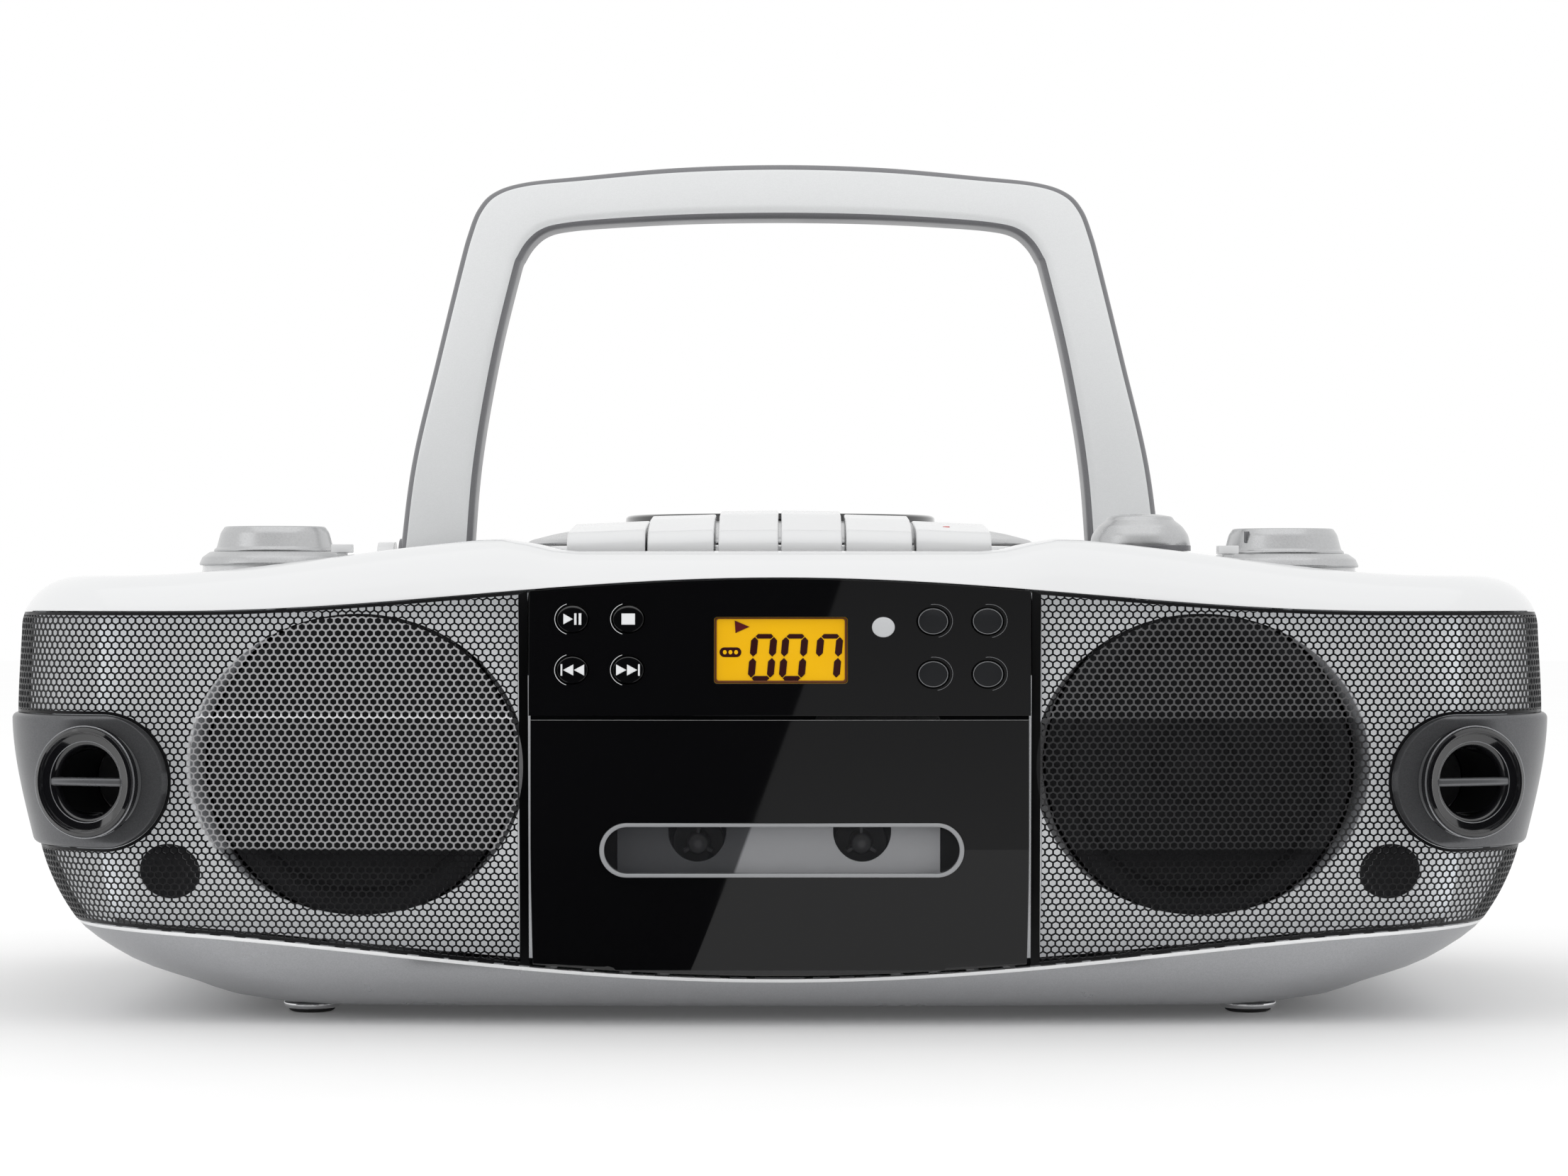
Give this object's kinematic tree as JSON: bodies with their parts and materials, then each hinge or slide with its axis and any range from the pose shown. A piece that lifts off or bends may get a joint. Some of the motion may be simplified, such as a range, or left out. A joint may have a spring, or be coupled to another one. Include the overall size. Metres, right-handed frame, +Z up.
{
  "type": "cassette player",
  "caption": "Portable CD, radio and cassette player with speaker grilles, a cassette door, piano keys, a CD lid and a fold-down carrying handle.",
  "frame": {"origin": "on the floor under the middle of the set's outer box", "axes": "+X to the right as seen from the front, +Y to the back, +Z up"},
  "size_m": [0.411, 0.2399, 0.2365],
  "materials": {
    "white_plastic": "high gloss moulded, white",
    "silver_plastic": "satin metallic silver paint on plastic",
    "silver_paint": "satin silver paint behind the grille",
    "black_plastic": "fine matte texture, black",
    "gloss_black": "piano-black gloss",
    "black_metal": "perforated steel, satin black paint",
    "trim_plastic": "satin dark grey metallic",
    "grey_plastic": "plain moulded, mid grey",
    "clear_plastic": "clear moulded window",
    "lcd_amber": "amber lit display glass",
    "sensor_grey": "smooth, light grey",
    "steel": "plain plated steel",
    "chrome": "bright plated",
    "cone_paper": "black pressed paper",
    "board_green": "green circuit board",
    "rubber": "matte black"
  },
  "bodies": {
    "cabinet": {"top_cabinet": "white_plastic", "bottom_cabinet": "silver_plastic", "rear_cabinet": "black_plastic", "front_baffle": "silver_paint", "left_grille": "black_metal", "right_grille": "black_metal", "left_port_trim": "trim_plastic", "right_port_trim": "trim_plastic", "left_port_tube": "gloss_black", "right_port_tube": "gloss_black", "left_speaker_frame": "steel", "right_speaker_frame": "steel", "left_speaker_cone": "cone_paper", "right_speaker_cone": "cone_paper", "control_panel": "gloss_black", "display_module": "lcd_amber", "remote_sensor": "sensor_grey", "front_left_foot": "rubber", "front_right_foot": "rubber", "rear_left_foot": "rubber", "rear_right_foot": "rubber", "cd_well": "grey_plastic", "deck_plate": "grey_plastic", "deck_motor": "steel", "main_board": "board_green", "transformer": "steel", "ac_inlet": "black_plastic"},
    "handle": {"handle": "silver_plastic"},
    "cd_lid": {"cd_lid": "silver_plastic"},
    "cd_spindle": {"cd_spindle": "black_plastic"},
    "cd_pickup": {"cd_pickup": "black_plastic"},
    "volume_knob": {"volume_knob": "silver_plastic"},
    "tuning_knob": {"tuning_knob": "silver_plastic"},
    "function_knob": {"function_knob": "silver_plastic"},
    "band_switch": {"band_switch": "white_plastic"},
    "bass_switch": {"bass_switch": "white_plastic"},
    "pause_key": {"pause_key": "white_plastic"},
    "stop_eject_key": {"stop_eject_key": "white_plastic"},
    "fast_forward_key": {"fast_forward_key": "white_plastic"},
    "rewind_key": {"rewind_key": "white_plastic"},
    "play_key": {"play_key": "white_plastic"},
    "record_key": {"record_key": "white_plastic"},
    "play_pause_button": {"play_pause_button": "gloss_black"},
    "stop_button": {"stop_button": "gloss_black"},
    "skip_back_button": {"skip_back_button": "gloss_black"},
    "skip_forward_button": {"skip_forward_button": "gloss_black"},
    "usb_button": {"usb_button": "gloss_black"},
    "repeat_button": {"repeat_button": "gloss_black"},
    "program_button": {"program_button": "gloss_black"},
    "sleep_button": {"sleep_button": "gloss_black"},
    "supply_spindle": {"supply_spindle": "grey_plastic"},
    "takeup_spindle": {"takeup_spindle": "grey_plastic"},
    "capstan_flywheel": {"capstan_flywheel": "steel"},
    "tape_head": {"tape_head": "steel"},
    "battery_door": {"battery_door": "black_plastic"},
    "antenna_base": {"antenna_base": "black_plastic"},
    "antenna_mast": {"antenna_mast": "chrome"},
    "antenna_tip": {"antenna_tip": "chrome"},
    "cassette_door": {"cassette_door": "gloss_black", "cassette_window": "clear_plastic"}
  },
  "joints": [
    {"name": "handle_fold", "type": "hinge", "parent": "cabinet", "child": "handle", "pos_m": [0, 0.005, 0.12], "axis": [-1, 0, 0], "range_deg": [0, 90]},
    {"name": "cd_lid_open", "type": "hinge", "parent": "cabinet", "child": "cd_lid", "pos_m": [0, 0.0982, 0.1292], "axis": [-1, 0, 0], "range_deg": [0, 38]},
    {"name": "cassette_door_open", "type": "hinge", "parent": "cabinet", "child": "cassette_door", "pos_m": [0, -0.11, 0.0175], "axis": [1, 0, 0], "range_deg": [0, 32]},
    {"name": "pause_key_press", "type": "hinge", "parent": "cabinet", "child": "pause_key", "pos_m": [-0.04555, -0.057, 0.1215], "axis": [1, 0, 0], "range_deg": [0, 6], "stiffness_Nm_per_rad": 0.03, "springref_deg": -20.05},
    {"name": "stop_eject_key_press", "type": "hinge", "parent": "cabinet", "child": "stop_eject_key", "pos_m": [-0.026, -0.057, 0.1215], "axis": [1, 0, 0], "range_deg": [0, 6], "stiffness_Nm_per_rad": 0.03, "springref_deg": -20.05},
    {"name": "fast_forward_key_press", "type": "hinge", "parent": "cabinet", "child": "fast_forward_key", "pos_m": [-0.00825, -0.057, 0.1215], "axis": [1, 0, 0], "range_deg": [0, 6], "stiffness_Nm_per_rad": 0.03, "springref_deg": -20.05},
    {"name": "rewind_key_press", "type": "hinge", "parent": "cabinet", "child": "rewind_key", "pos_m": [0.00835, -0.057, 0.1215], "axis": [1, 0, 0], "range_deg": [0, 6], "stiffness_Nm_per_rad": 0.03, "springref_deg": -20.05},
    {"name": "play_key_press", "type": "hinge", "parent": "cabinet", "child": "play_key", "pos_m": [0.02605, -0.057, 0.1215], "axis": [1, 0, 0], "range_deg": [0, 6], "stiffness_Nm_per_rad": 0.03, "springref_deg": -20.05},
    {"name": "record_key_press", "type": "hinge", "parent": "cabinet", "child": "record_key", "pos_m": [0.04565, -0.057, 0.1215], "axis": [1, 0, 0], "range_deg": [0, 6], "stiffness_Nm_per_rad": 0.03, "springref_deg": -20.05},
    {"name": "play_pause_button_press", "type": "slide", "parent": "cabinet", "child": "play_pause_button", "axis": [0, 1, 0], "range_m": [0, 0.0012], "stiffness_N_per_m": 300, "springref_m": -0.0008},
    {"name": "stop_button_press", "type": "slide", "parent": "cabinet", "child": "stop_button", "axis": [0, 1, 0], "range_m": [0, 0.0012], "stiffness_N_per_m": 300, "springref_m": -0.0008},
    {"name": "skip_back_button_press", "type": "slide", "parent": "cabinet", "child": "skip_back_button", "axis": [0, 1, 0], "range_m": [0, 0.0012], "stiffness_N_per_m": 300, "springref_m": -0.0008},
    {"name": "skip_forward_button_press", "type": "slide", "parent": "cabinet", "child": "skip_forward_button", "axis": [0, 1, 0], "range_m": [0, 0.0012], "stiffness_N_per_m": 300, "springref_m": -0.0008},
    {"name": "usb_button_press", "type": "slide", "parent": "cabinet", "child": "usb_button", "axis": [0, 1, 0], "range_m": [0, 0.0012], "stiffness_N_per_m": 300, "springref_m": -0.0008},
    {"name": "repeat_button_press", "type": "slide", "parent": "cabinet", "child": "repeat_button", "axis": [0, 1, 0], "range_m": [0, 0.0012], "stiffness_N_per_m": 300, "springref_m": -0.0008},
    {"name": "program_button_press", "type": "slide", "parent": "cabinet", "child": "program_button", "axis": [0, 1, 0], "range_m": [0, 0.0012], "stiffness_N_per_m": 300, "springref_m": -0.0008},
    {"name": "sleep_button_press", "type": "slide", "parent": "cabinet", "child": "sleep_button", "axis": [0, 1, 0], "range_m": [0, 0.0012], "stiffness_N_per_m": 300, "springref_m": -0.0008},
    {"name": "volume_turn", "type": "hinge", "parent": "cabinet", "child": "volume_knob", "pos_m": [0.097, -0.072, 0.1246], "axis": [0, 0, -1], "range_deg": [0, 300]},
    {"name": "tuning_turn", "type": "hinge", "parent": "cabinet", "child": "tuning_knob", "pos_m": [0.1355, -0.072, 0.1236], "axis": [0, 0, -1], "range_deg": [-150, 150]},
    {"name": "function_turn", "type": "hinge", "parent": "cabinet", "child": "function_knob", "pos_m": [-0.136, -0.072, 0.1242], "axis": [0, 0, -1], "range_deg": [-45, 45]},
    {"name": "band_switch_slide", "type": "slide", "parent": "cabinet", "child": "band_switch", "axis": [0, 1, 0], "range_m": [-0.002, 0.002]},
    {"name": "bass_switch_slide", "type": "slide", "parent": "cabinet", "child": "bass_switch", "axis": [0, 1, 0], "range_m": [-0.002, 0.002]},
    {"name": "cd_spin", "type": "hinge", "parent": "cabinet", "child": "cd_spindle", "pos_m": [0, 0.021, 0.1144], "axis": [0, 0, 1], "continuous": true},
    {"name": "cd_pickup_track", "type": "slide", "parent": "cabinet", "child": "cd_pickup", "axis": [0, -1, 0], "range_m": [0, 0.02]},
    {"name": "supply_spin", "type": "hinge", "parent": "cabinet", "child": "supply_spindle", "pos_m": [-0.0213, -0.097, 0.0481], "axis": [0, 1, 0], "continuous": true},
    {"name": "takeup_spin", "type": "hinge", "parent": "cabinet", "child": "takeup_spindle", "pos_m": [0.0213, -0.097, 0.0481], "axis": [0, 1, 0], "continuous": true},
    {"name": "capstan_spin", "type": "hinge", "parent": "cabinet", "child": "capstan_flywheel", "pos_m": [0.026, -0.097, 0.071], "axis": [0, 1, 0], "continuous": true},
    {"name": "tape_head_engage", "type": "slide", "parent": "cabinet", "child": "tape_head", "axis": [0, 0, -1], "range_m": [0, 0.003]},
    {"name": "battery_door_remove", "type": "slide", "parent": "cabinet", "child": "battery_door", "axis": [0, 1, 0], "range_m": [0, 0.03]},
    {"name": "antenna_swivel", "type": "hinge", "parent": "cabinet", "child": "antenna_base", "pos_m": [0.155, 0.1169, 0.098], "axis": [0, 1, 0], "range_deg": [0, 180]},
    {"name": "antenna_tilt", "type": "hinge", "parent": "antenna_base", "child": "antenna_mast", "pos_m": [0.155, 0.1169, 0.098], "axis": [0, 0, -1], "range_deg": [0, 90]},
    {"name": "antenna_extend", "type": "slide", "parent": "antenna_mast", "child": "antenna_tip", "axis": [-1, 0, 0], "range_m": [0, 0.14]}
  ],
  "couplings": [
    {"joint": "tape_head_engage", "follows": "play_key_press", "m_per_rad": 0.02865}
  ]
}
